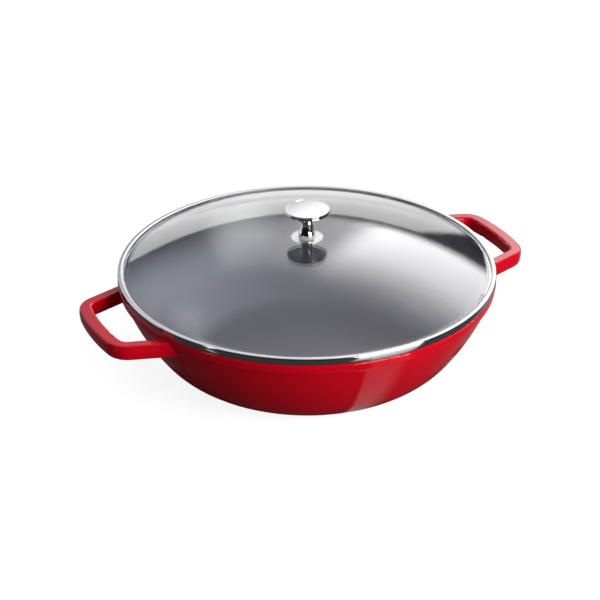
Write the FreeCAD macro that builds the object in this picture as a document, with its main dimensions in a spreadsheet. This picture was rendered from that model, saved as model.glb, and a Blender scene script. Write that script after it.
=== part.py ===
import FreeCAD, Part
import math
import os
import re
import Sketcher

# A cast-iron wok with two loop handles and a domed glass lid that lifts off.
# Frame: +Z up, origin on the resting plane below the bowl's centre, +X towards one handle.
# All lengths are in millimetres and all angles in degrees.

SIZES = [
    # bowl
    ("rim_radius", 152.1, "outside of the lip"),
    ("pan_height", 78.6, "resting plane to the lip's top"),
    ("lip_depth", 6.7, "lip's top down to where its outer side ends"),
    ("lip_overhang", 2.4, "how far the lip stands out from the wall at that depth"),
    ("lip_lean", 9.0, "slope of the lip's outer side, inwards as it goes down"),
    ("lip_round", 1.4, "rounding of the lip's upper edge"),
    ("lip_low_round", 1.5, "rounding of the lip's lower edge"),
    ("lip_cove", 2.0, "hollow curve from the lip into the wall"),
    ("side_radius", 178.7, "curve of the upper wall in section"),
    ("corner_radius", 58.0, "curve of the lower wall in section"),
    ("base_radius", 77.6, "outside of the flat base"),
    ("foot_width", 12.0, "width of the ring that the bowl rests on"),
    ("foot_recess", 0.8, "depth of the base inside that ring"),
    ("wall", 4.0, "thickness of the wall and the floor"),
    ("lip_width", 4.9, "outside of the lip to the inside of the lid's seat"),
    ("mouth_depth", 5.6, "depth of that seat below the lip's top"),
    ("mouth_round", 1.0, "rounding of the seat's upper edge"),
    # handles
    ("handle_length", 34.5, "outside of the lip to the outside of the handle's bar"),
    ("handle_half_width", 50.2, "half width over the arms, where they meet the lip"),
    ("handle_angle", 18.0, "each arm's lean towards the middle"),
    ("handle_corner", 20.0, "outer corner of the handle in plan"),
    ("bar_width", 10.8, "width of the handle's bar in plan"),
    ("arm_width", 10.0, "width of each arm in plan"),
    ("loop_corner", 7.0, "inner corner of the handle in plan"),
    ("handle_drop", 4.3, "lip's top down to the handle's top face"),
    ("handle_rise", 5.5, "parting line up to the handle's top face"),
    ("handle_depth", 7.5, "parting line down to the handle's underside"),
    ("upper_draft", 3.0, "slope of the handle's sides above the parting line"),
    ("lower_draft", 7.0, "slope of the handle's sides below the parting line"),
    ("handle_round", 2.0, "rounding of the handle's upper edges"),
    ("handle_low_round", 3.2, "rounding of the handle's lower edges"),
    ("root_round", 1.5, "fillet from the arms into the wall"),
    ("arm_sink", 26.35, "how far the arms are drawn on into the bowl before it is hollowed"),
    # glass
    ("glass", 4.0, "thickness of the glass"),
    ("dome_rise", 27.85, "top of the flat edge up to the top of the dome"),
    ("glass_edge", 5.0, "outside of the steel band to where the glass starts to bend"),
    ("glass_bend", 7.0, "curve from the flat edge into the dome"),
    ("glass_arris", 1.0, "rounding of the glass's outer edge"),
    ("glass_hole", 3.3, "radius of the hole for the knob's screw"),
    ("glass_seat", 8.0, "radius of the flat spot under the knob"),
    # steel band
    ("band_inset", 0.1, "outside of the lip to the outside of the steel band"),
    ("sheet", 0.5, "thickness of the band's steel"),
    ("band_flange", 4.0, "width of the band's top flange"),
    ("band_round", 1.0, "outside bend of the band's corners"),
    ("band_seam", 0.3, "gap where the band's ends meet"),
    ("seam_angle", -102.6, "direction of that gap from +X"),
    ("skirt_depth", 4.4, "how far the band reaches down inside the lip"),
    ("skirt_clearance", 0.8, "radial play between the skirt and the seat"),
    ("seal", 0.35, "thickness of the seal over and under the glass"),
    ("seal_side", 1.2, "thickness of the seal beside the glass's edge"),
    ("seal_play", 0.1, "radial play between that seal and the band"),
    # knob and its fixing
    ("gasket", 0.6, "thickness of the washer under the knob"),
    ("gasket_radius", 6.2, "outside of that washer"),
    ("knob_height", 22.2, "knob's foot to the top of its rim"),
    ("foot_radius", 6.65, "outside of the knob's foot"),
    ("knob_foot_round", 0.7, "rounding of the foot's lower edge"),
    ("foot_height", 1.35, "bottom of the foot up to where the flare begins"),
    ("flare_radius", 28.0, "hollow curve from the foot into the neck"),
    ("neck_radius", 4.5, "outside of the knob's neck"),
    ("head_radius", 17.6, "outside of the knob's head"),
    ("head_thickness", 3.1, "edge of the knob's head"),
    ("head_round", 0.7, "rounding of the head's edges"),
    ("neck_fillet", 3.0, "fillet from the neck into the head"),
    ("rim_land", 1.5, "width of the ring round the knob's top face"),
    ("rim_groove", 0.3, "depth of the step inside that ring"),
    ("crown", 0.6, "rise of the knob's top face to its middle"),
    ("screw_radius", 2.0, "shank of the screw"),
    ("screw_clearance", 0.05, "radial play between the screw and the knob"),
    ("screw_reach", 11.0, "depth of the screw in the knob"),
    ("bore_spare", 1.5, "room in the knob beyond the screw's end"),
    ("screw_head_radius", 4.0, "outside of the screw's head"),
    ("screw_head_height", 2.6, "height of the screw's head"),
    ("screw_head_round", 1.2, "rounding of the screw's head"),
    ("screw_point", 0.5, "bevel on the screw's end"),
    ("screw_slot", 1.1, "width of the cross cut into the screw's head"),
    ("screw_slot_length", 5.0, "length of that cross from end to end"),
    ("screw_slot_depth", 1.4, "depth of that cross"),
    ("washer_radius", 12.9, "outside of the steel washer under the glass"),
    ("washer", 1.0, "thickness of that washer"),
    ("washer_round", 0.3, "rounding of that washer's edges"),
    ("lower_gasket_flange", 0.4, "thickness of the soft washer under the glass"),
    ("lower_gasket_radius", 7.0, "outside of that soft washer"),
    ("collar_clearance", 0.1, "play between its collar and the hole in the glass"),
    ("hole_clearance", 0.2, "radial play round the screw in the washers"),
]

ALIASES = {alias for alias, _, _ in SIZES}

doc = FreeCAD.newDocument("Wok")
sheet = doc.addObject("Spreadsheet::Sheet", "Sizes")
for row, (alias, value, meaning) in enumerate(SIZES, start=1):
    sheet.set(f"A{row}", meaning)
    sheet.set(f"B{row}", str(value))
    sheet.setAlias(f"B{row}", alias)
doc.recompute()


# Sizes that follow from the sheet's own. Formulas use them by name in the same way.
DERIVED = {
    "wall_top_radius": "rim_radius - lip_overhang",
    "mouth_radius": "rim_radius - lip_width",
    "handle_reach": "rim_radius + handle_length",
    "band_radius": "rim_radius - band_inset",
    "glass_flat": "band_radius - glass_edge",
}


def size(name):
    """The value of one size, from the sheet or worked out from it."""
    if name not in DERIVED:
        return float(sheet.get(name))
    first, sign, second = DERIVED[name].split()
    return size(first) + (size(second) if sign == "+" else -size(second))


def bound(formula):
    """A formula with every name turned into the sheet's own, made ready for setExpression."""
    def replace(word):
        name = word.group()
        if name in DERIVED:
            return f"({bound(DERIVED[name])})"
        return f"Sizes.{name}" if name in ALIASES else name
    return re.sub(r"[a-z_]+", replace, formula)


ORIGIN = (-1, 1)
START, END, CENTRE = 1, 2, 3
H_AXIS, V_AXIS = -1, -2
CLOSE = 0.01


def bind(feature, **formulas):
    """Tie a feature's properties to the sheet."""
    for name, formula in formulas.items():
        feature.setExpression(name, bound(formula))


def new_body(label):
    """A body whose label names its file."""
    body = doc.addObject("PartDesign::Body", label)
    body.Label = label
    return body


def origin_plane(body, role):
    """One of the body's own three base planes."""
    return next(item for item in body.Origin.OriginFeatures if item.Role == role)


class Outline:
    """A closed outline in a sketch, drawn piece by piece with each piece starting where the last ended."""

    def __init__(self, body, name, plane="XZ_Plane", height=None):
        self.sketch = body.newObject("Sketcher::SketchObject", name)
        self.sketch.AttachmentSupport = [(origin_plane(body, plane), "")]
        self.sketch.MapMode = "FlatFace"
        if height:
            self.sketch.setExpression("AttachmentOffset.Base.z", bound(height))
        self.pieces = []

    def constrain(self, *terms, formula=None):
        """One constraint, tied to the sheet where it has a formula."""
        index = self.sketch.addConstraint(Sketcher.Constraint(*terms))
        if formula:
            self.sketch.setExpression(f"Constraints[{index}]", bound(formula))

    def line(self, start, end):
        """A straight piece."""
        geometry = self.sketch.addGeometry(
            Part.LineSegment(FreeCAD.Vector(*start, 0), FreeCAD.Vector(*end, 0)), False)
        self.pieces.append((geometry, START, END))
        return geometry

    def arc(self, centre, start, end, clockwise=False):
        """A round piece about a centre, from start to end."""
        radius = math.dist(centre, start)
        first, last = (end, start) if clockwise else (start, end)
        angles = [math.atan2(point[1] - centre[1], point[0] - centre[0]) for point in (first, last)]
        if angles[1] < angles[0]:
            angles[1] += 2 * math.pi
        circle = Part.Circle(FreeCAD.Vector(*centre, 0), FreeCAD.Vector(0, 0, 1), radius)
        geometry = self.sketch.addGeometry(Part.ArcOfCircle(circle, *angles), False)
        self.pieces.append((geometry, END, START) if clockwise else (geometry, START, END))
        return geometry

    def circle(self, formula):
        """A whole circle about the sketch's origin. Its constraint gives it its size."""
        circle = Part.Circle(FreeCAD.Vector(), FreeCAD.Vector(0, 0, 1), 1)
        geometry = self.sketch.addGeometry(circle, False)
        self.constrain("Coincident", geometry, CENTRE, *ORIGIN)
        self.round_to(formula, geometry)

    def join(self, smooth=()):
        """Join each piece to the next, and run smoothly out of the pieces named in smooth."""
        for number, (geometry, _, last) in enumerate(self.pieces):
            following, first, _ = self.pieces[(number + 1) % len(self.pieces)]
            kind = "Tangent" if geometry in smooth else "Coincident"
            self.constrain(kind, geometry, last, following, first)

    def first(self, geometry):
        """The point where a piece starts, as drawn."""
        return next((item[0], item[1]) for item in self.pieces if item[0] == geometry)

    def last(self, geometry):
        """The point where a piece ends, as drawn."""
        return next((item[0], item[2]) for item in self.pieces if item[0] == geometry)

    def level(self, *lines):
        """Lines parallel to the sketch's first axis."""
        for geometry in lines:
            self.constrain("Horizontal", geometry)

    def upright(self, *lines):
        """Lines parallel to the sketch's second axis."""
        for geometry in lines:
            self.constrain("Vertical", geometry)

    def across(self, point, formula):
        """A point's distance from the second axis."""
        self.constrain("DistanceX", *ORIGIN, *point, self.sketch.getPoint(*point).x, formula=formula)

    def above(self, point, formula):
        """A point's distance from the first axis."""
        self.constrain("DistanceY", *ORIGIN, *point, self.sketch.getPoint(*point).y, formula=formula)

    def round_to(self, formula, *arcs):
        """The radius of one or more arcs."""
        for geometry in arcs:
            self.constrain("Radius", geometry, self.sketch.Geometry[geometry].Radius, formula=formula)

    def on_axis(self, axis, *points):
        """Points that lie on one of the sketch's axes."""
        for point in points:
            self.constrain("PointOnObject", *point, axis)


def revolve(outline, name, turn=None):
    """Turn an outline about the upright axis, all the way round or by the given formula."""
    body = outline.sketch.getParentGeoFeatureGroup()
    feature = body.newObject("PartDesign::Revolution", name)
    feature.Profile = outline.sketch
    feature.ReferenceAxis = (outline.sketch, ["V_Axis"])
    feature.Angle = 360
    if turn:
        bind(feature, Angle=turn)
    return feature


def fillet(body, name, formula, wanted):
    """Round the edges that wanted() accepts."""
    doc.recompute()
    base = body.Tip
    names = [f"Edge{n}" for n, edge in enumerate(base.Shape.Edges, start=1) if wanted(edge)]
    if not names:
        raise RuntimeError(f"{name} found no edge")
    feature = body.newObject("PartDesign::Fillet", name)
    feature.Base = (base, names)
    bind(feature, Radius=formula)
    return feature


def pad(outline, name, length):
    """Raise an outline to the given height."""
    body = outline.sketch.getParentGeoFeatureGroup()
    feature = body.newObject("PartDesign::Pad", name)
    feature.Profile = outline.sketch
    bind(feature, Length=length)
    return feature


def pocket(outline, name, depth):
    """Sink an outline upwards into the body by the given depth."""
    body = outline.sketch.getParentGeoFeatureGroup()
    doc.recompute()
    before = body.Shape.Volume
    feature = body.newObject("PartDesign::Pocket", name)
    feature.Profile = outline.sketch
    feature.Reversed = True
    bind(feature, Length=depth)
    doc.recompute()
    if feature.Shape.Volume >= before:
        raise RuntimeError(f"{name} cut nothing")
    return feature


def ring(body, name, outer, inner, length):
    """A flat ring about the upright axis, standing on the body's own base plane."""
    outline = Outline(body, f"{name}Outline", "XY_Plane")
    outline.circle(outer)
    outline.circle(inner)
    return pad(outline, name, length)


def ring_edge(radius, height=None):
    """A test for a circle of that radius about the upright axis, at that height where one is given."""
    def wanted(edge):
        level = height is None or abs(edge.CenterOfMass.z - height) < CLOSE
        return level and isinstance(edge.Curve, Part.Circle) and abs(edge.Curve.Radius - radius) < CLOSE
    return wanted


def crossing(first, first_radius, second, second_radius):
    """Where two circles cross, to the left of the way from the first centre to the second."""
    gap = math.dist(first, second)
    along = (first_radius ** 2 - second_radius ** 2 + gap ** 2) / (2 * gap)
    across = math.sqrt(first_radius ** 2 - along ** 2)
    ux, uz = (second[0] - first[0]) / gap, (second[1] - first[1]) / gap
    return (first[0] + along * ux - across * uz, first[1] + along * uz + across * ux)


def wall_centres():
    """In section, the centres of the lower and the upper arc of the bowl's outside."""
    corner, side = size("corner_radius"), size("side_radius")
    corner_centre = (size("base_radius"), corner)
    wall_top = (size("wall_top_radius"), size("pan_height") - size("lip_depth"))
    return corner_centre, crossing(corner_centre, side - corner, wall_top, side)


def bowl_outline(body):
    """Half of the bowl's outside in section: foot ring and curved wall, up to within the lip."""
    out = Outline(body, "BowlOutline")
    base, corner, side = size("base_radius"), size("corner_radius"), size("side_radius")
    recess, foot = size("foot_recess"), size("base_radius") - size("foot_width")
    height = size("pan_height") - size("lip_round")
    corner_centre, side_centre = wall_centres()
    share = corner / (side - corner)
    meet = tuple(c + (c - s) * share for c, s in zip(corner_centre, side_centre))
    wall_end = (side_centre[0] + math.sqrt(side ** 2 - (height - side_centre[1]) ** 2), height)
    floor = out.line((0, recess), (foot, recess))
    step = out.line((foot, recess), (foot, 0))
    ring = out.line((foot, 0), (base, 0))
    lower = out.arc(corner_centre, (base, 0), meet)
    upper = out.arc(side_centre, meet, wall_end)
    top = out.line(wall_end, (0, height))
    axis = out.line((0, height), (0, recess))
    out.join(smooth=(ring, lower))
    out.level(floor, top)
    out.upright(step)
    out.on_axis(H_AXIS, out.first(ring), out.last(ring))
    out.on_axis(V_AXIS, out.first(axis), out.last(axis))
    out.above(out.first(floor), "foot_recess")
    out.across(out.last(floor), "base_radius - foot_width")
    out.across(out.last(ring), "base_radius")
    out.round_to("corner_radius", lower)
    out.round_to("side_radius", upper)
    out.above(out.first(top), "pan_height - lip_round")
    wall_top = (size("wall_top_radius"), size("pan_height") - size("lip_depth"))
    wall_point = out.sketch.addGeometry(Part.Point(FreeCAD.Vector(*wall_top, 0)), True)
    out.constrain("PointOnObject", wall_point, START, upper)
    out.across((wall_point, START), "wall_top_radius")
    out.above((wall_point, START), "pan_height - lip_depth")
    return out


def lip_outline(body, bowl):
    """Half of the lip in section, down to the cove that runs it into the wall."""
    out = Outline(body, "LipOutline")
    height, low, cove = size("pan_height"), size("lip_low_round"), size("lip_cove")
    edge, side = size("lip_round"), size("side_radius")
    lean = math.radians(size("lip_lean"))
    _, side_centre = wall_centres()
    edge_centre = (size("rim_radius") - edge, height - edge)
    side_high = (edge_centre[0] + edge * math.cos(lean), edge_centre[1] - edge * math.sin(lean))
    side_end = height - size("lip_depth")
    side_low = (side_high[0] - (side_high[1] - side_end) * math.tan(lean), side_end)
    low_centre = (side_low[0] - low * math.cos(lean), side_low[1] + low * math.sin(lean))
    cove_centre = crossing(low_centre, low + cove, side_centre, side + cove)
    turn = tuple(a + (b - a) * low / (low + cove) for a, b in zip(low_centre, cove_centre))
    cove_low = tuple(s + (c - s) * side / (side + cove) for s, c in zip(side_centre, cove_centre))
    out.sketch.addExternal(bowl.sketch.Name, "Edge5")
    wall_arc = -3
    bottom = out.line((0, cove_low[1]), cove_low)
    hollow = out.arc(cove_centre, cove_low, turn, clockwise=True)
    low_edge = out.arc(low_centre, turn, side_low)
    lip_side = out.line(side_low, side_high)
    high_edge = out.arc(edge_centre, side_high, (edge_centre[0], height))
    top = out.line((edge_centre[0], height), (0, height))
    axis = out.line((0, height), (0, cove_low[1]))
    out.join(smooth=(hollow, low_edge, lip_side, high_edge))
    out.level(bottom, top)
    out.on_axis(V_AXIS, out.first(axis), out.last(axis))
    out.constrain("Tangent", *out.first(hollow), wall_arc)
    out.round_to("lip_cove", hollow)
    out.round_to("lip_low_round", low_edge)
    out.round_to("lip_round", high_edge)
    out.across((high_edge, CENTRE), "rim_radius - lip_round")
    out.above(out.first(top), "pan_height")
    out.above(out.first(lip_side), "pan_height - lip_depth")
    out.constrain("Angle", lip_side, math.pi / 2 - lean, formula="90 - lip_lean")
    return out


def handle_outline(body):
    """One loop handle in plan: two leaning arms and a bar that follows the rim, open towards the bowl."""
    out = Outline(body, "HandleOutline", "XY_Plane", "pan_height - handle_drop - handle_rise")
    lean = math.radians(size("handle_angle"))
    root = size("rim_radius") - size("arm_sink")
    root_half = size("handle_half_width") + size("arm_sink") * math.tan(lean)

    def arm_and_corner(inset, reach, corner):
        """Where an arm's edge starts, the corner's centre, and where the corner begins and ends."""
        start = (root, root_half - inset / math.cos(lean))
        # the corner's centre lies one radius inside both the arm's edge and the bar's edge
        offset = start[1] * math.cos(lean) + root * math.sin(lean) - corner
        spread = math.acos(offset / (reach - corner))
        angle = math.pi / 2 - lean - spread
        centre = ((reach - corner) * math.cos(angle), (reach - corner) * math.sin(angle))
        begins = (centre[0] + corner * math.sin(lean), centre[1] + corner * math.cos(lean))
        ends = (reach * math.cos(angle), reach * math.sin(angle))
        return start, centre, begins, ends

    def flip(point):
        return (point[0], -point[1])

    middle = (0, 0)
    reach = size("handle_reach")
    start, centre, begins, ends = arm_and_corner(0, reach, size("handle_corner"))
    outer_arm = out.line(start, begins)
    outer_corner = out.arc(centre, begins, ends, clockwise=True)
    outer_bar = out.arc(middle, ends, flip(ends), clockwise=True)
    outer_corner_2 = out.arc(flip(centre), flip(ends), flip(begins), clockwise=True)
    outer_arm_2 = out.line(flip(begins), flip(start))
    outer_start = start
    start, centre, begins, ends = arm_and_corner(
        size("arm_width"), reach - size("bar_width"), size("loop_corner"))
    out.line(flip(outer_start), flip(start))
    inner_arm_2 = out.line(flip(start), flip(begins))
    inner_corner_2 = out.arc(flip(centre), flip(begins), flip(ends))
    inner_bar = out.arc(middle, flip(ends), ends)
    inner_corner = out.arc(centre, ends, begins)
    inner_arm = out.line(begins, start)
    root_1 = out.line(start, outer_start)
    out.join(smooth=(outer_arm, outer_corner, outer_bar, outer_corner_2,
                     inner_arm_2, inner_corner_2, inner_bar, inner_corner))
    out.upright(root_1)
    for bar in (outer_bar, inner_bar):
        out.constrain("Coincident", bar, CENTRE, *ORIGIN)
    out.round_to("handle_reach", outer_bar)
    out.round_to("handle_reach - bar_width", inner_bar)
    out.round_to("handle_corner", outer_corner)
    out.round_to("loop_corner", inner_corner)
    out.across(out.first(outer_arm), "rim_radius - arm_sink")
    out.above(out.first(outer_arm), "handle_half_width + arm_sink * tan(handle_angle)")
    out.above(out.last(inner_arm),
              "handle_half_width + arm_sink * tan(handle_angle) - arm_width / cos(handle_angle)")
    out.constrain("Angle", outer_arm, -lean, formula="-handle_angle")
    out.constrain("Parallel", inner_arm, outer_arm)
    for upper, lower in ((out.first(outer_arm), out.last(outer_arm_2)),
                         (out.last(outer_arm), out.first(outer_arm_2)),
                         (out.last(inner_arm), out.first(inner_arm_2)),
                         (out.first(inner_arm), out.last(inner_arm_2))):
        out.constrain("Symmetric", *upper, *lower, H_AXIS)
    return out


def half_handle(body, outline, name, length, draft, upwards):
    """The handle above or below its parting line, with its sides leaning in away from that line."""
    half = pad(outline, name, length)
    half.Reversed = not upwards
    doc.recompute()
    parting = size("pan_height") - size("handle_drop") - size("handle_rise")
    low, high = (parting, parting + size(length)) if upwards else (parting - size(length), parting)
    root = size("rim_radius") - size("arm_sink")

    def side(face):
        """A side face of this half, other than the two ends inside the bowl."""
        box = face.BoundBox
        spans = abs(box.ZMin - low) < CLOSE and abs(box.ZMax - high) < CLOSE
        return spans and box.XMax > root + CLOSE

    lean = body.newObject("PartDesign::Draft", f"{name}Draft")
    lean.Base = (half, [f"Face{n}" for n, face in enumerate(half.Shape.Faces, start=1) if side(face)])
    lean.NeutralPlane = (outline.sketch, [""])
    lean.Reversed = not upwards
    bind(lean, Angle=draft)
    doc.recompute()


def add_handles(body):
    """Both handles, drafted both ways from the parting line that the mould leaves at mid-height."""
    outline = handle_outline(body)
    half_handle(body, outline, "HandleTop", "handle_rise", "upper_draft", True)
    half_handle(body, outline, "HandleUnder", "handle_depth", "lower_draft", False)
    top = size("pan_height") - size("handle_drop")
    underside = top - size("handle_rise") - size("handle_depth")
    fillet(body, "HandleRound", "handle_round", level_edge(top))
    fillet(body, "HandleLowRound", "handle_low_round", level_edge(underside))
    mirrored(body, "SecondHandle", "YZ_Plane")


def level_edge(height):
    """A test for an edge of the handle's face at that height, other than the two ends inside the bowl."""
    root = size("rim_radius") - size("arm_sink")

    def wanted(edge):
        box = edge.BoundBox
        flat = abs(box.ZMin - height) < CLOSE and abs(box.ZMax - height) < CLOSE
        return flat and box.XMax > root + size("arm_width") / 2
    return wanted


def root_edge(edge):
    """Whether an edge is where one of the arms runs into the wall."""
    middle = edge.valueAt((edge.FirstParameter + edge.LastParameter) / 2)
    _, side_centre = wall_centres()
    reach = math.dist((math.hypot(middle.x, middle.y), middle.z), side_centre)
    on_wall = abs(reach - size("side_radius")) < CLOSE
    return on_wall and abs(middle.y) > CLOSE and not isinstance(edge.Curve, Part.Circle)


def mirrored(body, name, plane):
    """The body so far and its mirror image."""
    doc.recompute()
    feature = body.newObject("PartDesign::Mirrored", name)
    feature.TransformMode = "Whole shape"
    feature.MirrorPlane = (origin_plane(body, plane), [""])
    body.Tip = feature
    return feature


def hollow_outline(body, bowl):
    """Half of the bowl's inside in section, a wall's thickness within the outside, up to the lid's seat."""
    out = Outline(body, "HollowOutline")
    base, corner, side = size("base_radius"), size("corner_radius"), size("side_radius")
    wall, height, mouth = size("wall"), size("pan_height"), size("mouth_radius")
    ledge = height - size("mouth_depth")
    corner_centre, side_centre = wall_centres()
    share = (corner - wall) / (side - corner)
    meet = tuple(c + (c - s) * share for c, s in zip(corner_centre, side_centre))
    inner_side = side - wall
    ledge_x = side_centre[0] + math.sqrt(inner_side ** 2 - (ledge - side_centre[1]) ** 2)
    for edge in ("Edge4", "Edge5"):
        out.sketch.addExternal(bowl.sketch.Name, edge)
    outer_corner, outer_side = -3, -4
    floor = out.line((0, wall), (base, wall))
    lower = out.arc(corner_centre, (base, wall), meet)
    upper = out.arc(side_centre, meet, (ledge_x, ledge))
    seat = out.line((ledge_x, ledge), (mouth, ledge))
    mouth_side = out.line((mouth, ledge), (mouth, height))
    top = out.line((mouth, height), (0, height))
    axis = out.line((0, height), (0, wall))
    out.join(smooth=(floor, lower))
    out.level(floor, seat, top)
    out.upright(mouth_side)
    out.on_axis(V_AXIS, out.first(axis), out.last(axis))
    out.constrain("Coincident", lower, CENTRE, outer_corner, CENTRE)
    out.constrain("Coincident", upper, CENTRE, outer_side, CENTRE)
    out.above(out.last(axis), "wall")
    out.above(out.first(seat), "pan_height - mouth_depth")
    out.across(out.first(mouth_side), "mouth_radius")
    out.above(out.first(top), "pan_height")
    return out


def make_pan():
    """The casting: two loop handles and the bowl in one, hollowed after they are joined."""
    body = new_body("pan")
    body.AllowCompound = True
    add_handles(body)
    bowl = bowl_outline(body)
    revolve(bowl, "Bowl")
    fillet(body, "RootRound", "root_round", root_edge)
    doc.recompute()
    revolve(lip_outline(body, bowl), "Lip")
    doc.recompute()
    hollow = hollow_outline(body, bowl)
    cavity = body.newObject("PartDesign::Groove", "Cavity")
    cavity.Profile = hollow.sketch
    cavity.ReferenceAxis = (hollow.sketch, ["V_Axis"])
    cavity.Angle = 360
    mouth = size("mouth_radius")
    fillet(body, "MouthRound", "mouth_round", ring_edge(mouth, size("pan_height")))
    return body


# Heights of the pieces that stack up on the lid's axis.
GLASS_UNDERSIDE = "pan_height + sheet + seal + dome_rise"
GLASS_TOP = GLASS_UNDERSIDE + " + glass"
WASHER_TOP = GLASS_UNDERSIDE + " - lower_gasket_flange"


def make_glass():
    """Tempered glass: a flat edge for the band, a soft bend, and a dome with a flat spot under the knob."""
    body = new_body("lid_glass")
    bind(body, **{"Placement.Base.z": "pan_height + sheet + seal"})
    out = Outline(body, "GlassOutline")
    thick, bend, rise = size("glass"), size("glass_bend"), size("dome_rise")
    flat, seat, hole = size("glass_flat"), size("glass_seat"), size("glass_hole")
    arris = size("glass_arris")
    edge = size("band_radius") - size("sheet") - size("seal_play") - size("seal_side")
    span = flat - seat
    dome = (span ** 2 + rise ** 2) / (2 * rise) - bend
    bend_centre = (flat, thick + bend)
    dome_centre = (seat, thick + rise - dome)
    share = dome / (dome + bend)
    meet = tuple(d + (b - d) * share for d, b in zip(dome_centre, bend_centre))
    share = (dome - thick) / (dome + bend)
    meet_below = tuple(d + (b - d) * share for d, b in zip(dome_centre, bend_centre))
    crown = out.line((hole, thick + rise), (seat, thick + rise))
    dome_top = out.arc(dome_centre, (seat, thick + rise), meet, clockwise=True)
    bend_top = out.arc(bend_centre, meet, (flat, thick))
    edge_top = out.line((flat, thick), (edge - arris, thick))
    arris_top = out.arc(
        (edge - arris, thick - arris), (edge - arris, thick), (edge, thick - arris), clockwise=True)
    edge_side = out.line((edge, thick - arris), (edge, arris))
    arris_low = out.arc((edge - arris, arris), (edge, arris), (edge - arris, 0), clockwise=True)
    edge_low = out.line((edge - arris, 0), (flat, 0))
    bend_low = out.arc(bend_centre, (flat, 0), meet_below, clockwise=True)
    dome_low = out.arc(dome_centre, meet_below, (seat, rise))
    crown_low = out.line((seat, rise), (hole, rise))
    bore = out.line((hole, rise), (hole, thick + rise))
    out.join(smooth=(crown, dome_top, bend_top, edge_top, arris_top, edge_side, arris_low,
                     edge_low, bend_low, dome_low))
    out.level(crown, edge_top, edge_low, crown_low)
    out.upright(edge_side, bore)
    out.constrain("Coincident", bend_low, CENTRE, bend_top, CENTRE)
    out.constrain("Coincident", dome_low, CENTRE, dome_top, CENTRE)
    out.on_axis(H_AXIS, out.first(edge_low))
    out.above(out.first(edge_top), "glass")
    out.above(out.first(crown), "glass + dome_rise")
    out.across(out.first(crown), "glass_hole")
    out.across(out.last(crown), "glass_seat")
    out.across(out.first(edge_top), "glass_flat")
    out.round_to("glass_bend", bend_top)
    out.round_to("glass_arris", arris_top, arris_low)
    out.across(out.first(edge_side), "band_radius - sheet - seal_play - seal_side")
    revolve(out, "Dome")
    return body


def make_seal():
    """Soft strip folded round the glass's edge, between the glass and the band."""
    body = new_body("edge_seal")
    bind(body, **{"Placement.Base.z": "pan_height + sheet"})
    out = Outline(body, "SealOutline")
    thick, glass = size("seal"), size("glass")
    height = glass + 2 * thick
    outside = size("band_radius") - size("sheet") - size("seal_play")
    edge = outside - size("seal_side")
    inside = size("band_radius") - size("band_flange")
    bend = size("band_round") - size("sheet") / 2
    low = out.line((inside, 0), (outside - bend, 0))
    low_bend = out.arc((outside - bend, bend), (outside - bend, 0), (outside, bend))
    side = out.line((outside, bend), (outside, height - bend))
    top_bend = out.arc((outside - bend, height - bend), (outside, height - bend), (outside - bend, height))
    top = out.line((outside - bend, height), (inside, height))
    top_end = out.line((inside, height), (inside, height - thick))
    over_glass = out.line((inside, height - thick), (edge, height - thick))
    beside_glass = out.line((edge, height - thick), (edge, thick))
    under_glass = out.line((edge, thick), (inside, thick))
    low_end = out.line((inside, thick), (inside, 0))
    out.join(smooth=(low, low_bend, side, top_bend))
    out.level(top, over_glass, under_glass)
    out.upright(side, top_end, beside_glass, low_end)
    out.on_axis(H_AXIS, out.first(low), out.last(low))
    out.across(out.first(side), "band_radius - sheet - seal_play")
    out.round_to("band_round - sheet / 2", low_bend, top_bend)
    out.across(out.first(low), "band_radius - band_flange")
    out.across(out.last(top), "band_radius - band_flange")
    out.above(out.first(top), "glass + 2 * seal")
    out.above(out.first(over_glass), "glass + seal")
    out.above(out.last(under_glass), "seal")
    out.across(out.first(beside_glass), "band_radius - sheet - seal_play - seal_side")
    revolve(out, "Strip")
    return body


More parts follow.
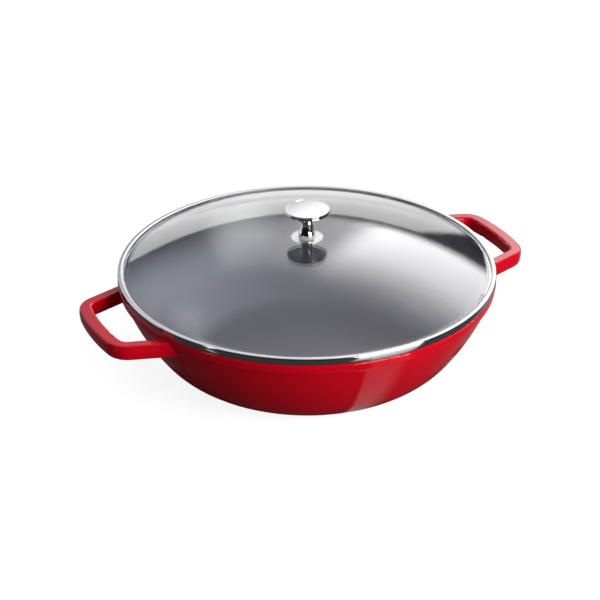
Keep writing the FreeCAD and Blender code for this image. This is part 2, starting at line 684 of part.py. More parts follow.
def make_band():
    """Steel strip rolled to a G: over the glass's edge, round it, back under it and down into the seat."""
    body = new_body("rim_band")
    body.Placement = FreeCAD.Placement(FreeCAD.Vector(), FreeCAD.Rotation(FreeCAD.Vector(0, 0, 1), 1))
    bind(body, **{"Placement.Base.z": "pan_height", "Placement.Rotation.Angle": "seam_angle"})
    out = Outline(body, "BandOutline")
    steel, bend, outside = size("sheet"), size("band_round"), size("band_radius")
    inner_bend = bend - steel
    height = size("glass") + 2 * size("seal") + 2 * steel
    inside = outside - size("band_flange")
    skirt = size("mouth_radius") - size("skirt_clearance")
    drop = -size("skirt_depth")
    turn = (skirt + inner_bend, -inner_bend)
    top = out.line((inside, height), (outside - bend, height))
    top_bend = out.arc(
        (outside - bend, height - bend), (outside - bend, height), (outside, height - bend), clockwise=True)
    side = out.line((outside, height - bend), (outside, bend))
    low_bend = out.arc((outside - bend, bend), (outside, bend), (outside - bend, 0), clockwise=True)
    low = out.line((outside - bend, 0), (turn[0], 0))
    skirt_bend = out.arc(turn, (turn[0], 0), (skirt, turn[1]))
    skirt_out = out.line((skirt, turn[1]), (skirt, drop))
    skirt_end = out.line((skirt, drop), (skirt - steel, drop))
    skirt_in = out.line((skirt - steel, drop), (skirt - steel, turn[1]))
    skirt_bend_in = out.arc(turn, (skirt - steel, turn[1]), (turn[0], steel), clockwise=True)
    low_in = out.line((turn[0], steel), (outside - bend, steel))
    low_bend_in = out.arc((outside - bend, bend), (outside - bend, steel), (outside - steel, bend))
    side_in = out.line((outside - steel, bend), (outside - steel, height - bend))
    top_bend_in = out.arc((outside - bend, height - bend), (outside - steel, height - bend),
                          (outside - bend, height - steel))
    top_in = out.line((outside - bend, height - steel), (inside, height - steel))
    flange_end = out.line((inside, height - steel), (inside, height))
    out.join(smooth=(top, top_bend, side, low_bend, low, skirt_bend, skirt_in, skirt_bend_in,
                     low_in, low_bend_in, side_in, top_bend_in))
    out.level(top, skirt_end, top_in)
    out.upright(side, skirt_out, skirt_in, side_in, flange_end)
    out.on_axis(H_AXIS, out.first(low), out.last(low))
    for inner, outer in ((skirt_bend_in, skirt_bend), (low_bend_in, low_bend), (top_bend_in, top_bend)):
        out.constrain("Coincident", inner, CENTRE, outer, CENTRE)
    out.above(out.first(top), "glass + 2 * seal + 2 * sheet")
    out.across(out.first(side), "band_radius")
    out.round_to("band_round", top_bend, low_bend)
    out.across(out.first(top), "band_radius - band_flange")
    out.across(out.first(side_in), "band_radius - sheet")
    out.round_to("band_round - sheet", skirt_bend)
    out.across(out.first(skirt_out), "mouth_radius - skirt_clearance")
    out.across(out.first(skirt_in), "mouth_radius - skirt_clearance - sheet")
    out.above(out.last(skirt_out), "-skirt_depth")
    revolve(out, "Channel", turn="360 - band_seam / band_radius * 180 / pi")
    return body


def make_knob():
    """One turned piece: flared foot, slim neck and a flat head with a fine ring round its top."""
    body = new_body("knob")
    bind(body, **{"Placement.Base.z": f"{GLASS_TOP} + gasket"})
    out = Outline(body, "KnobOutline")
    foot, foot_bend, foot_top = size("foot_radius"), size("knob_foot_round"), size("foot_height")
    neck, flare, web = size("neck_radius"), size("flare_radius"), size("neck_fillet")
    head, bend, height = size("head_radius"), size("head_round"), size("knob_height")
    low, inner = height - size("head_thickness"), head - size("rim_land")
    step, rise = height - size("rim_groove"), size("crown")
    flare_top = foot_top + math.sqrt(flare ** 2 - (neck + flare - foot) ** 2)
    crown_radius = (inner ** 2 + rise ** 2) / (2 * rise)
    bottom = out.line((0, 0), (foot - foot_bend, 0))
    foot_arc = out.arc((foot - foot_bend, foot_bend), (foot - foot_bend, 0), (foot, foot_bend))
    foot_side = out.line((foot, foot_bend), (foot, foot_top))
    flare_arc = out.arc((neck + flare, flare_top), (foot, foot_top), (neck, flare_top), clockwise=True)
    neck_side = out.line((neck, flare_top), (neck, low - web))
    web_arc = out.arc((neck + web, low - web), (neck, low - web), (neck + web, low), clockwise=True)
    under = out.line((neck + web, low), (head - bend, low))
    low_arc = out.arc((head - bend, low + bend), (head - bend, low), (head, low + bend))
    head_side = out.line((head, low + bend), (head, height - bend))
    top_arc = out.arc((head - bend, height - bend), (head, height - bend), (head - bend, height))
    land = out.line((head - bend, height), (inner, height))
    ring_step = out.line((inner, height), (inner, step))
    crown_arc = out.arc((0, step + rise - crown_radius), (inner, step), (0, step + rise))
    axis = out.line((0, step + rise), (0, 0))
    out.join(smooth=(bottom, foot_arc, flare_arc, neck_side, web_arc, under, low_arc, head_side, top_arc))
    out.level(bottom, under, land)
    out.upright(foot_side, neck_side, head_side, ring_step)
    out.on_axis(V_AXIS, out.first(axis), out.last(axis), (crown_arc, CENTRE))
    out.on_axis(H_AXIS, out.first(bottom))
    out.round_to("knob_foot_round", foot_arc)
    out.across(out.first(foot_side), "foot_radius")
    out.above(out.last(foot_side), "foot_height")
    out.round_to("flare_radius", flare_arc)
    out.across(out.first(neck_side), "neck_radius")
    out.round_to("neck_fillet", web_arc)
    out.above(out.first(under), "knob_height - head_thickness")
    out.across(out.first(head_side), "head_radius")
    out.round_to("head_round", low_arc, top_arc)
    out.above(out.first(land), "knob_height")
    out.across(out.first(ring_step), "head_radius - rim_land")
    out.above(out.last(ring_step), "knob_height - rim_groove")
    out.above(out.first(axis), "knob_height - rim_groove + crown")
    revolve(out, "Turning")
    bore = Outline(body, "BoreOutline", "XY_Plane")
    bore.circle("screw_radius + screw_clearance")
    pocket(bore, "Bore", "screw_reach + bore_spare")
    return body


def make_upper_gasket():
    """Soft washer that keeps the knob off the glass."""
    body = new_body("upper_gasket")
    bind(body, **{"Placement.Base.z": GLASS_TOP})
    ring(body, "Washer", "gasket_radius", "screw_radius + hole_clearance", "gasket")
    return body


def make_lower_gasket():
    """Soft washer under the glass, with a collar that keeps the screw off the edge of the hole."""
    body = new_body("lower_gasket")
    bind(body, **{"Placement.Base.z": WASHER_TOP})
    ring(body, "Flange", "lower_gasket_radius", "screw_radius + hole_clearance", "lower_gasket_flange")
    ring(body, "Collar", "glass_hole - collar_clearance", "screw_radius + hole_clearance",
         "lower_gasket_flange + glass - collar_clearance")
    return body


def make_backing_washer():
    """Wide steel washer that spreads the screw's pull under the glass."""
    body = new_body("backing_washer")
    bind(body, **{"Placement.Base.z": f"{WASHER_TOP} - washer"})
    ring(body, "Disc", "washer_radius", "screw_radius + hole_clearance", "washer")
    fillet(body, "DiscRound", "washer_round", ring_edge(size("washer_radius")))
    return body


def make_screw():
    """Cross-head screw that comes up through the glass and holds the knob."""
    body = new_body("knob_screw")
    bind(body, **{"Placement.Base.z": f"{WASHER_TOP} - washer"})
    out = Outline(body, "ScrewOutline")
    head, bend, low = size("screw_head_radius"), size("screw_head_round"), -size("screw_head_height")
    shank, point = size("screw_radius"), size("screw_point")
    grip = ("washer", "lower_gasket_flange", "glass", "gasket", "screw_reach")
    length = sum(size(part) for part in grip)
    length_formula = " + ".join(grip)
    face = out.line((0, low), (head - bend, low))
    bend_arc = out.arc((head - bend, low + bend), (head - bend, low), (head, low + bend))
    side = out.line((head, low + bend), (head, 0))
    seat = out.line((head, 0), (shank, 0))
    shank_side = out.line((shank, 0), (shank, length - point))
    out.line((shank, length - point), (shank - point, length))
    end = out.line((shank - point, length), (0, length))
    axis = out.line((0, length), (0, low))
    out.join(smooth=(face, bend_arc))
    out.level(face, seat, end)
    out.upright(side, shank_side)
    out.on_axis(V_AXIS, out.first(axis), out.last(axis))
    out.on_axis(H_AXIS, out.first(seat))
    out.above(out.first(face), "-screw_head_height")
    out.across(out.first(side), "screw_head_radius")
    out.round_to("screw_head_round", bend_arc)
    out.across(out.first(shank_side), "screw_radius")
    out.above(out.first(end), length_formula)
    out.across(out.first(end), "screw_radius - screw_point")
    out.above(out.last(shank_side), f"{length_formula} - screw_point")
    revolve(out, "Turning")
    slot = Outline(body, "SlotOutline", "XY_Plane", "-screw_head_height")
    half_length, half_width = size("screw_slot_length") / 2, size("screw_slot") / 2
    front = slot.line((-half_length, -half_width), (half_length, -half_width))
    right = slot.line((half_length, -half_width), (half_length, half_width))
    back = slot.line((half_length, half_width), (-half_length, half_width))
    left = slot.line((-half_length, half_width), (-half_length, -half_width))
    slot.join()
    slot.level(front, back)
    slot.upright(left, right)
    slot.across(slot.first(right), "screw_slot_length / 2")
    slot.above(slot.last(right), "screw_slot / 2")
    slot.constrain("Symmetric", *slot.first(right), *slot.first(left), *ORIGIN)
    cut = pocket(slot, "Slot", "screw_slot_depth")
    cross = body.newObject("PartDesign::PolarPattern", "Cross")
    cross.Originals = [cut]
    cross.Axis = (slot.sketch, ["N_Axis"])
    cross.Angle = 90
    cross.Occurrences = 2
    body.Tip = cross
    return body


def check_model():
    """Stop if any feature failed or any piece isn't one valid solid."""
    failed = [item.Name for item in doc.Objects if {"Invalid", "Error"} & set(item.State)]
    if failed:
        raise RuntimeError(f"failed features: {failed}")
    for body in pieces:
        shape = body.Shape
        if shape.isNull() or not shape.isValid() or len(shape.Solids) != 1:
            raise RuntimeError(f"{body.Label} isn't one valid solid")


pieces = [
    make_pan(),
    make_glass(),
    make_seal(),
    make_band(),
    make_knob(),
    make_upper_gasket(),
    make_lower_gasket(),
    make_backing_washer(),
    make_screw(),
]
doc.recompute()
check_model()
os.makedirs("parts", exist_ok=True)
for piece in pieces:
    piece.Shape.exportStep(f"parts/{piece.Label}.step")
    box = piece.Shape.BoundBox
    print(f"{piece.Label}: volume {piece.Shape.Volume:.1f} mm3, z {box.ZMin:.2f} to {box.ZMax:.2f}")
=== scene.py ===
import math
import bpy
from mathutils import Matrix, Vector


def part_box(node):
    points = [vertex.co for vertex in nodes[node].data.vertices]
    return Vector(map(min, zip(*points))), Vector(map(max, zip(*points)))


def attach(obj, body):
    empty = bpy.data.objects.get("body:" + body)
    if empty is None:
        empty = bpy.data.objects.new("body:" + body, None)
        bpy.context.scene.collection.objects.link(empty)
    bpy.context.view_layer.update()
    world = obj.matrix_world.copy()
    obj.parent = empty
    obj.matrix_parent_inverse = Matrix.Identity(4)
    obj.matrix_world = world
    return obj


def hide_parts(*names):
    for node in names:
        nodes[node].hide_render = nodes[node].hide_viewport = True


# A red enamelled wok with a domed glass lid, dressed on its fixed frame. All lengths are in metres.

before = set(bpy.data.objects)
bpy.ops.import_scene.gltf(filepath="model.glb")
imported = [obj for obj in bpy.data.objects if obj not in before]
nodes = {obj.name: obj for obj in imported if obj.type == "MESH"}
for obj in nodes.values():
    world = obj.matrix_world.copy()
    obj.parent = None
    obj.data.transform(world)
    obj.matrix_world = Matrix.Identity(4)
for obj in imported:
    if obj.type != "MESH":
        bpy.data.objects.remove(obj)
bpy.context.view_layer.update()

# ---- sizes read from the frame ----------------------------------------------------------------

_, pan_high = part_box("pan")
band_low, band_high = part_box("rim_band")
LIP_TOP = pan_high.z
LIP_RADIUS = pan_high.y
BAND_TOP = band_high.z
BAND_RADIUS = band_high.y


# ---- node trees and materials -----------------------------------------------------------------

class Nodes:
    """A few short ways to build a node tree."""

    def __init__(self, tree):
        self.tree = tree

    def add(self, kind, **settings):
        """A new node. Settings are the node's own properties."""
        node = self.tree.nodes.new(kind)
        for name, value in settings.items():
            setattr(node, name, value)
        return node

    def link(self, source, target):
        """Join an output to an input. A node stands for its first output."""
        if isinstance(source, bpy.types.Node):
            source = source.outputs[0]
        self.tree.links.new(source, target)

    def feed(self, socket, value):
        """Set an input to a number, a colour or another node's output."""
        if isinstance(value, (bpy.types.Node, bpy.types.NodeSocket)):
            self.link(value, socket)
        else:
            socket.default_value = value

    def feed_all(self, node, *values):
        """Set a node's first inputs, in their order."""
        for socket, value in zip(node.inputs, values):
            self.feed(socket, value)

    def set(self, node, **values):
        """Set a node's inputs by their names. Base_Color stands for the socket "Base Color"."""
        for name, value in values.items():
            self.feed(node.inputs[name.replace("_", " ")], value)

    def math(self, operation, *values):
        """One arithmetic step."""
        node = self.add("ShaderNodeMath", operation=operation)
        self.feed_all(node, *values)
        return node.outputs[0]

    def product(self, *factors):
        """The factors multiplied together."""
        result = factors[0]
        for factor in factors[1:]:
            result = self.math("MULTIPLY", result, factor)
        return result

    def dot(self, first, second):
        """The dot product of two vectors."""
        node = self.add("ShaderNodeVectorMath", operation="DOT_PRODUCT")
        self.feed_all(node, first, second)
        return node.outputs["Value"]

    def distance(self, x, y):
        """The distance of a point from the Z axis."""
        return self.math("SQRT", self.math("ADD", self.product(x, x), self.product(y, y)))

    def place(self):
        """The position in the object's own space."""
        return self.add("ShaderNodeTexCoord").outputs["Object"]

    def parts(self, vector):
        """The X, Y and Z of a vector."""
        node = self.add("ShaderNodeSeparateXYZ")
        self.link(vector, node.inputs[0])
        return node.outputs

    def joined(self, x, y, z):
        """A vector from three numbers."""
        node = self.add("ShaderNodeCombineXYZ")
        self.feed_all(node, x, y, z)
        return node.outputs[0]

    def noise(self, scale, detail=3.0, vector=None, roughness=0.5):
        """Fractal noise, in object space unless another vector is given. The scale is per metre."""
        node = self.add("ShaderNodeTexNoise")
        self.set(node, Vector=self.place() if vector is None else vector)
        self.set(node, Scale=scale, Detail=detail, Roughness=roughness)
        return node.outputs["Fac"]

    def between(self, value, low, high, result_low, result_high):
        """Map a range of numbers smoothly onto another."""
        node = self.add("ShaderNodeMapRange", interpolation_type="SMOOTHSTEP")
        self.feed_all(node, value, low, high, result_low, result_high)
        return node.outputs[0]

    def ramp(self, value, start, end):
        """0 up to the start and 1 from the end on, or the other way round where the end is lower."""
        if start < end:
            return self.between(value, start, end, 0.0, 1.0)
        return self.between(value, end, start, 1.0, 0.0)

    def blend(self, share, first, second):
        """A colour between two colours. The node's colour sockets are inputs 6 and 7 and output 2."""
        node = self.add("ShaderNodeMix", data_type="RGBA")
        self.feed(node.inputs[0], share)
        self.feed(node.inputs[6], first)
        self.feed(node.inputs[7], second)
        return node.outputs[2]

    def bump(self, height, distance):
        """A normal that follows a height, whose full range is the given distance in metres."""
        node = self.add("ShaderNodeBump")
        self.set(node, Height=height, Distance=distance)
        return node.outputs[0]

    def any_ray(self, *kinds):
        """1 on rays of the named kinds and 0 on all others."""
        path = self.add("ShaderNodeLightPath")
        share = path.outputs[kinds[0]]
        for kind in kinds[1:]:
            share = self.math("MAXIMUM", share, path.outputs[kind])
        return share

    def mixed(self, share, first, second):
        """A shader between two shaders."""
        node = self.add("ShaderNodeMixShader")
        self.feed_all(node, share, first, second)
        return node


class Material(Nodes):
    """A material with its Principled shader."""

    def __init__(self, name):
        self.data = bpy.data.materials.new(name)
        self.data.use_nodes = True
        super().__init__(self.data.node_tree)
        self.shader = self.tree.nodes["Principled BSDF"]

    def show(self, shader):
        """Put another shader on the surface than the Principled one."""
        self.link(shader, self.tree.nodes["Material Output"].inputs["Surface"])


def grey(level):
    """A neutral colour."""
    return (level, level, level, 1)


RED = (0.50, 0.001, 0.010, 1)
DEEP_RED = (0.42, 0.0008, 0.008, 1)
BLACK = (0.011, 0.011, 0.016, 1)
PALE_BLACK = (0.027, 0.027, 0.036, 1)
MOUTH_EDGE = LIP_RADIUS - 0.00395         # radius at which the red lip gives way to the black inside
EDGE_WANDER = 0.0006                      # width of the strip within which that edge wanders


def enamel():
    """Glossy red enamel outside and satin black enamel inside, on one casting."""
    made = Material("enamelled_iron")
    red = made.shader
    pool = made.noise(22, detail=2)
    made.set(red, Base_Color=made.blend(pool, DEEP_RED, RED), Roughness=0.05, IOR=1.35,
             Normal=made.bump(made.noise(350, detail=2), distance=0.000006))
    black = made.add("ShaderNodeBsdfPrincipled")
    grain = made.noise(1500)
    made.set(black, Base_Color=made.blend(grain, BLACK, PALE_BLACK),
             Roughness=made.between(grain, 0.3, 0.7, 0.26, 0.36),
             Normal=made.bump(grain, distance=0.000010))
    # the inside is where the surface faces up or towards the axis, within the lip
    x, y, _ = made.parts(made.place())
    radius = made.distance(x, y)
    outward = made.joined(made.math("DIVIDE", x, radius), made.math("DIVIDE", y, radius), -1.0)
    normal = made.add("ShaderNodeNewGeometry").outputs["Normal"]
    facing = made.math("LESS_THAN", made.dot(normal, outward), 0.0)
    edge = made.math("ADD", MOUTH_EDGE - EDGE_WANDER / 2, made.product(made.noise(60), EDGE_WANDER))
    within = made.math("LESS_THAN", radius, edge)
    made.show(made.mixed(made.product(facing, within), red, black))
    return made


def clear_glass():
    """Clear tempered glass. Rays from the lamps pass through it, so the inside of the pan is lit."""
    made = Material("clear_glass")
    made.set(made.shader, Base_Color=(0.95, 0.95, 0.955, 1), Roughness=0.0, IOR=1.52, Transmission_Weight=1.0)
    clear = made.add("ShaderNodeBsdfTransparent")
    made.set(clear, Color=(0.88, 0.90, 0.90, 1))
    made.show(made.mixed(made.any_ray("Is Shadow Ray"), made.shader, clear))
    return made


def rolled_steel():
    """Bright steel strip with faint lines along its length."""
    made = Material("band_steel")
    along, across = 1.5, 1500.0               # how fast the lines change along and across the strip
    x, y, z = made.parts(made.place())
    angle = made.math("ARCTAN2", y, x)
    stretched = made.joined(made.product(angle, along), 0.0, made.product(z, across))
    lines = made.noise(6, detail=4, vector=stretched, roughness=0.6)
    made.set(made.shader, Base_Color=made.blend(lines, grey(0.44), grey(0.58)), Metallic=1.0,
             Roughness=made.between(lines, 0.2, 0.8, 0.05, 0.11),
             Normal=made.bump(lines, distance=0.000001))
    return made


def turned_steel(name, dark, bright, smoothest, roughest):
    """Polished steel with fine rings round the lid's axis, as a lathe leaves them."""
    made = Material(name)
    fineness = 2500.0
    x, y, z = made.parts(made.place())
    across = made.joined(made.product(made.distance(x, y), fineness), 0.0, made.product(z, fineness))
    rings = made.noise(1.0, detail=2, vector=across)
    made.set(made.shader, Base_Color=made.blend(rings, dark, bright), Metallic=1.0,
             Roughness=made.between(rings, 0.25, 0.75, smoothest, roughest),
             Normal=made.bump(rings, distance=0.000006))
    return made


def soft_rubber(name, dark, pale, roughness):
    """Soft rubber with a fine grain."""
    made = Material(name)
    grain = made.noise(900)
    made.set(made.shader, Base_Color=made.blend(grain, dark, pale), Roughness=roughness,
             Normal=made.bump(grain, distance=0.00004))
    return made


# ---- objects and outlines ---------------------------------------------------------------------

SHARP_ANGLE = math.radians(40)            # faces that meet at more than this keep a sharp edge


def dress(material, *names):
    """Give CAD nodes a material."""
    for name in names:
        slots = nodes[name].data.materials
        slots.clear()
        slots.append(material.data)


def new_object(name, data):
    """A new object in the scene."""
    made = bpy.data.objects.new(name, data)
    bpy.context.scene.collection.objects.link(made)
    return made


def new_mesh(name, verts, faces, material):
    """A mesh of one material."""
    mesh = bpy.data.meshes.new(name)
    mesh.from_pydata(verts, [], faces)
    mesh.materials.append(material.data)
    return mesh


def smooth_piece(name, verts, faces, material):
    """An object that is shaded smoothly up to its sharp edges."""
    mesh = new_mesh(name, verts, faces, material)
    mesh.polygons.foreach_set("use_smooth", [True] * len(faces))
    mesh.set_sharp_from_angle(angle=SHARP_ANGLE)
    return new_object(name, mesh)


def bend(centre, radius, start, end, steps):
    """Points along an arc, with the angles in degrees from the radial direction."""
    turns = (math.radians(start + (end - start) * step / steps) for step in range(steps + 1))
    return [(centre[0] + radius * math.cos(turn), centre[1] + radius * math.sin(turn)) for turn in turns]


def turned(line, angle):
    """The points of an outline in radius and height, turned to an angle round the Z axis."""
    return [(r * math.cos(angle), r * math.sin(angle), z) for r, z in line]


# ---- the steel band, rolled with softer curves than its solid ---------------------------------

SHEET = 0.0005                            # thickness of the band's steel
SKIRT_RADIUS = 0.14615                    # middle of the skirt's wall
CROWN_RADIUS = 0.0074                     # bend of the flange
CORNER_RADIUS = 0.00075                   # bends above and below the bulging side
FOLD_RADIUS = 0.0005                      # bend from the bottom into the skirt
CORNERS_HEIGHT = 0.00132                  # what the flange and both corners take of the height
FEWEST_STEPS = 6                          # steps along one bend of the section
DEGREES_PER_STEP = 5
FLANGE_RISE = 14                          # slope of the flange's inner end, in degrees
SIDE_TURN = 20                            # turn of the bulging side, in degrees
SEAM_ANGLE = math.radians(-102.6)         # where the band's ends meet, from +X
SEAM_GAP = 0.0003
BAND_STEPS = 720


def band_section():
    """The middle line of the band's steel, from the flange's inner end round to the foot of the skirt."""
    side_height = BAND_TOP - LIP_TOP - SHEET - CORNERS_HEIGHT
    side_radius = side_height / (2 * math.sin(math.radians(SIDE_TURN / 2)))
    # each bend's radius and its turn in degrees: the crowned flange, a corner, the bulging side, a corner
    bends = ((CROWN_RADIUS, -23), (CORNER_RADIUS, -71), (side_radius, -SIDE_TURN), (CORNER_RADIUS, -80))
    line = [(0.0, 0.0)]
    heading = math.radians(FLANGE_RISE)
    for radius, turn in bends:
        steps = max(FEWEST_STEPS, abs(turn) // DEGREES_PER_STEP)
        for _ in range(steps):
            next_heading = heading + math.radians(turn) / steps
            r, z = line[-1]
            line.append((r + radius * (math.sin(heading) - math.sin(next_heading)),
                         z + radius * (math.cos(next_heading) - math.cos(heading))))
            heading = next_heading
    # set it against the lip's top and the band's outside
    out = BAND_RADIUS - SHEET / 2 - max(r for r, _ in line)
    down = LIP_TOP + SHEET / 2 - line[-1][1]
    line = [(r + out, z + down) for r, z in line]
    foot = line[-1][1]
    line += bend((SKIRT_RADIUS + FOLD_RADIUS, foot - FOLD_RADIUS), FOLD_RADIUS, 90, 180, 6)
    line.append((SKIRT_RADIUS, band_low.z))
    return line


def offset(line, distance):
    """The same line, moved sideways."""
    moved = []
    for index, (r, z) in enumerate(line):
        before, after = line[max(index - 1, 0)], line[min(index + 1, len(line) - 1)]
        along = Vector((after[0] - before[0], after[1] - before[1])).normalized()
        moved.append((r - along.y * distance, z + along.x * distance))
    return moved


def rolled_band():
    """The band as one strip of steel, rolled round the glass and butted at the front."""
    middle = band_section()
    outline = offset(middle, SHEET / 2) + offset(middle, -SHEET / 2)[::-1]
    count = len(outline)
    seam = SEAM_GAP / BAND_RADIUS
    verts, faces = [], []
    for step in range(BAND_STEPS + 1):
        verts += turned(outline, SEAM_ANGLE + seam / 2 + (2 * math.pi - seam) * step / BAND_STEPS)
    for step in range(BAND_STEPS):
        for index in range(count):
            here, there = step * count + index, step * count + (index + 1) % count
            faces.append((here, there, there + count, here + count))
    first_end = range(count)
    last_end = range(BAND_STEPS * count, (BAND_STEPS + 1) * count)
    faces += [tuple(reversed(first_end)), tuple(last_end)]
    band = smooth_piece("rolled_band", verts, faces, rolled_steel())
    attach(band, "lid")
    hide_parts("rim_band")


# ---- the knob, turned with crisper edges than its solid ---------------------------------------

HOLE_RADIUS = 0.00205                     # hole for the screw
HOLE_DEPTH = 0.0125
FOOT_RADIUS = 0.00665
FOOT_HEIGHT = 0.00135                     # straight part of the foot, below the flare
NECK_RADIUS = 0.0045
NECK_LOW = 0.01211                        # where the flare ends in the neck, above the foot
WEB_RADIUS = 0.003                        # bend from the neck into the head
HEAD_HEIGHT = 0.0034
RIM_DROP = 0.0003                         # how far the head's rim lies below the crown's middle
RIM_LAND = 0.0012                         # width of the flat rim round the crown
CROWN_STEP = 0.0001                       # step from the rim down to the crown's edge
KNOB_EDGE = 0.0003                        # rounding of the knob's edges
KNOB_STEPS = 256


def knob_section():
    """The knob's outline from the top of its screw hole round to the middle of its crown."""
    low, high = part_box("knob")
    foot, top, head = low.z, high.z, high.y
    neck_low, under, rim = foot + NECK_LOW, top - HEAD_HEIGHT, top - RIM_DROP
    rise, narrowing = NECK_LOW - FOOT_HEIGHT, FOOT_RADIUS - NECK_RADIUS
    flare = (rise ** 2 + narrowing ** 2) / (2 * narrowing)
    flare_angle = math.degrees(math.asin(rise / flare))
    line = [(0.0, foot + HOLE_DEPTH), (HOLE_RADIUS, foot + HOLE_DEPTH), (HOLE_RADIUS, foot)]
    line += bend((FOOT_RADIUS - KNOB_EDGE, foot + KNOB_EDGE), KNOB_EDGE, -90, 0, 6)
    line += bend((NECK_RADIUS + flare, neck_low), -flare, flare_angle, 0, 12)
    line += bend((NECK_RADIUS + WEB_RADIUS, under - WEB_RADIUS), -WEB_RADIUS, 0, -90, 12)
    line += bend((head - KNOB_EDGE, under + KNOB_EDGE), KNOB_EDGE, -90, 0, 6)
    line += bend((head - KNOB_EDGE, rim - KNOB_EDGE), KNOB_EDGE, 0, 90, 6)
    # the crown is a shallow ball whose edge lies a small step below the rim's flat land
    crown = head - KNOB_EDGE - RIM_LAND
    line.append((crown, rim))
    crown_rise = RIM_DROP + CROWN_STEP
    ball = (crown ** 2 + crown_rise ** 2) / (2 * crown_rise)
    spread = math.degrees(math.asin(crown / ball))
    line += bend((0.0, top - ball), ball, 90 - spread, 90, 12)
    line[-1] = (0.0, top)
    return line


def turned_knob():
    """The knob as one turned piece."""
    line = knob_section()
    rings = line[1:-1]
    # the two points on the axis come first, and the rings follow from the hole's top to the crown
    verts = [(0.0, 0.0, line[0][1]), (0.0, 0.0, line[-1][1])]
    first = len(verts)
    for r, z in rings:
        for step in range(KNOB_STEPS):
            verts += turned([(r, z)], 2 * math.pi * step / KNOB_STEPS)
    faces = []
    last = first + (len(rings) - 1) * KNOB_STEPS
    for step in range(KNOB_STEPS):
        beyond = (step + 1) % KNOB_STEPS
        faces += [(0, first + beyond, first + step), (1, last + step, last + beyond)]
        for ring in range(first, last, KNOB_STEPS):
            following = ring + KNOB_STEPS
            faces.append((ring + step, ring + beyond, following + beyond, following + step))
    steel = turned_steel("knob_steel", grey(0.60), grey(0.68), 0.04, 0.07)
    knob = smooth_piece("turned_knob", verts, faces, steel)
    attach(knob, "lid")
    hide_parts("knob")


rolled_band()
turned_knob()
dress(enamel(), "pan")
dress(clear_glass(), "lid_glass")
dress(turned_steel("washer_steel", grey(0.48), grey(0.60), 0.15, 0.28), "backing_washer")
dress(turned_steel("screw_steel", (0.50, 0.50, 0.51, 1), (0.62, 0.62, 0.63, 1), 0.20, 0.32), "knob_screw")
dress(soft_rubber("edge_rubber", grey(0.22), grey(0.30), 0.5), "edge_seal")
dress(soft_rubber("gasket_rubber", grey(0.45), (0.60, 0.60, 0.59, 1), 0.45), "upper_gasket", "lower_gasket")


# ---- floor, light and camera ------------------------------------------------------------------

WHITE = grey(1.0)
DUSK = (0.90, 0.895, 1.0, 1)
COLD = (0.84, 0.90, 1.05, 1)


def direction(azimuth, elevation):
    """A unit vector. Azimuth runs from the front (-Y) towards the right (+X), in degrees."""
    around, up = math.radians(azimuth), math.radians(elevation)
    return Vector((math.sin(around) * math.cos(up), -math.cos(around) * math.cos(up), math.sin(up)))


BEHIND = direction(153, 0)                # away from the camera, along the floor


def floor():
    """A wide floor at the height of the resting plane. The camera sees it nearly white, with its shadow."""
    half = 6.0
    # the last of these sets how strongly the painted glowing wedge on the table shines in the object's gloss
    glow, glow_share, painted_light_share = 1.16, 0.75, 0.55
    polished, dull = 0.06, 0.9
    made = Material("pale_floor")
    corners = [(-half, -half, 0), (half, -half, 0), (half, half, 0), (-half, half, 0)]
    plane = new_object("floor", new_mesh("floor", corners, [(0, 1, 2, 3)], made))
    pale = made.blend(made.noise(3), grey(0.90), grey(0.93))
    seen = made.any_ray("Is Camera Ray", "Is Transmission Ray")
    # soft light meets a grey table, and the object's gloss a dark polished one that mirrors the lamps
    gloss = made.any_ray("Is Glossy Ray")
    made.set(made.shader, Base_Color=made.blend(gloss, made.blend(seen, grey(0.17), pale), grey(0.05)),
             Roughness=made.between(gloss, 0.0, 1.0, dull, polished), IOR=1.28)
    white = made.add("ShaderNodeEmission")
    made.set(white, Strength=glow)
    # well behind the object its gloss finds the table white
    place = made.place()
    far = made.ramp(made.dot(place, BEHIND), 0.24, 0.42)
    # painted reflection: a glowing wedge on the table, from the object towards its front right, which only
    # the object's gloss sees, so a lit patch of floor shows in its enamel and steel
    painted_light_left = made.ramp(made.dot(place, direction(98, 0)), -0.033, -0.029)
    painted_light_right = made.ramp(made.dot(place, direction(126, 0)), -0.050, -0.078)
    painted_light = made.product(painted_light_left, painted_light_right, painted_light_share)
    # the floor glows white to the camera, and to the object's gloss only far behind and on the painted wedge
    lit = made.math("MAXIMUM", seen, made.product(gloss, made.math("MAXIMUM", far, painted_light)))
    made.show(made.mixed(made.product(lit, glow_share), made.shader, white))


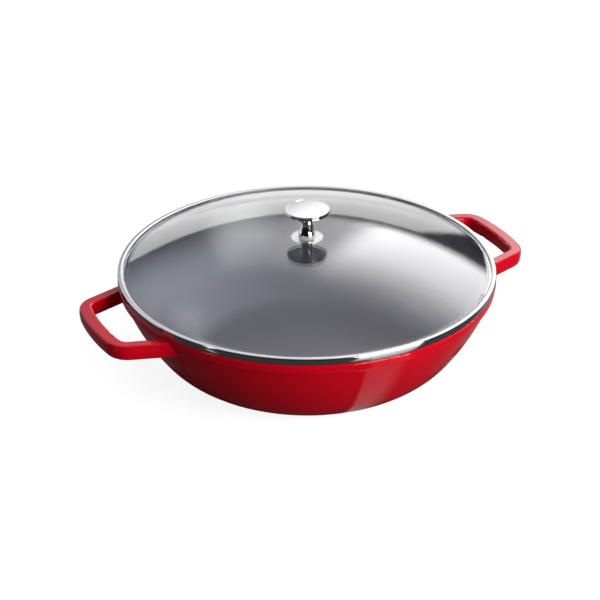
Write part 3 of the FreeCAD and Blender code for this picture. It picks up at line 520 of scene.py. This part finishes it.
def studio_world():
    """A white backdrop and three soft lights behind the object, in a dim room. The camera sees only white."""
    world = bpy.data.worlds.new("studio")
    bpy.context.scene.world = world
    world.use_nodes = True
    world.node_tree.nodes.clear()
    made = Nodes(world.node_tree)
    aim = made.add("ShaderNodeTexCoord").outputs["Generated"]
    height = made.parts(aim)[2]

    def lobe(towards, narrowness, strength):
        """A round light that fades away from one direction."""
        facing = made.math("MAXIMUM", made.dot(aim, towards), 0.0)
        return made.product(made.math("POWER", facing, narrowness), strength)

    def background(colour, strength):
        """A colour all round, as strong as the given number or pattern."""
        shader = made.add("ShaderNodeBackground")
        made.set(shader, Color=colour, Strength=strength)
        return shader

    def together(first, second):
        """Two shaders added up."""
        node = made.add("ShaderNodeAddShader")
        made.feed_all(node, first, second)
        return node

    # a large soft box behind the object's right, whose light fades towards its sides and top
    ahead = made.dot(aim, direction(124, 27))
    beside = made.math("ABSOLUTE", made.math("DIVIDE", made.dot(aim, direction(214, 0)), ahead))
    above = made.math("DIVIDE", made.dot(aim, direction(304, 63)), ahead)
    core = made.product(made.ramp(beside, 0.43, 0.31), 2.75)
    border = made.product(made.ramp(beside, 0.68, 0.42), 1.15)
    bottom, top = made.ramp(above, -0.21, -0.10), made.ramp(above, 0.54, 0.05)
    box = made.product(made.ramp(ahead, 0.0, 0.1), made.math("ADD", core, border), bottom, top)
    # two round lights, as the camera sees it one high behind the object and one lower behind its left
    rear = lobe(direction(140, 58), narrowness=8.0, strength=0.60)
    left = lobe(direction(-172, 38), narrowness=20.0, strength=1.15)
    # the room is dim above, and dimmer in front and near the horizon
    from_front = made.between(made.dot(aim, BEHIND), -0.3, 0.15, 0.14, 1.0)
    from_floor = made.between(height, 0.20, 0.60, 0.12, 1.15)
    room = made.product(from_front, from_floor, 0.45)
    # the white backdrop stands 51 degrees to both sides of azimuth -170, up to 14 degrees above the horizon
    backdrop = made.product(made.ramp(made.dot(aim, direction(-170, 0)), 0.60, 0.63),
                            made.ramp(height, 0.250, 0.238))
    rest = made.math("SUBTRACT", 1.0, backdrop)

    white = background(WHITE, made.math("ADD", made.product(box, rest), made.product(backdrop, 1.3)))
    dusk = background(DUSK, made.product(made.math("ADD", room, rear), rest))
    cold = background(COLD, made.product(left, rest))
    studio = together(white, together(dusk, cold))
    seen = made.mixed(made.any_ray("Is Camera Ray"), studio, background(WHITE, 1.0))
    made.link(seen, made.add("ShaderNodeOutputWorld").inputs["Surface"])


LIT_POINT = Vector((0, 0, 0.08))          # the point that the lamps face
LAMP_DISTANCE = 1.5


def soft_box(name, azimuth, elevation, width, height, watts):
    """A rectangular lamp that faces the object."""
    lamp = bpy.data.lights.new(name, "AREA")
    lamp.shape = "RECTANGLE"
    lamp.size, lamp.size_y, lamp.energy = width, height, watts
    holder = new_object(name, lamp)
    place = LIT_POINT + direction(azimuth, elevation) * LAMP_DISTANCE
    holder.location = place
    holder.rotation_euler = (LIT_POINT - place).to_track_quat("-Z", "Y").to_euler()


def view_camera():
    """The camera that the object is seen from, a little left of the front and above."""
    azimuth, elevation, distance = -26.7, 28.41, 1.5
    # the point in the middle of the picture
    aside, below_band = -0.005577, 0.03257
    back, right = direction(azimuth, elevation), direction(azimuth + 90, 0)
    data = bpy.data.cameras.new("camera")
    data.sensor_width = 36
    data.lens = 110.745
    data.clip_end = 50
    camera = new_object("camera", data)
    camera.location = right * aside + Vector((0, 0, BAND_TOP - below_band)) + back * distance
    camera.rotation_euler = back.to_track_quat("Z", "Y").to_euler()
    bpy.context.scene.camera = camera


floor()
studio_world()
soft_box("front_box", azimuth=20, elevation=21, width=1.0, height=0.70, watts=34)
soft_box("left_box", azimuth=-83, elevation=24, width=0.12, height=0.4, watts=1.5)
view_camera()
bpy.context.scene.view_settings.view_transform = "Standard"
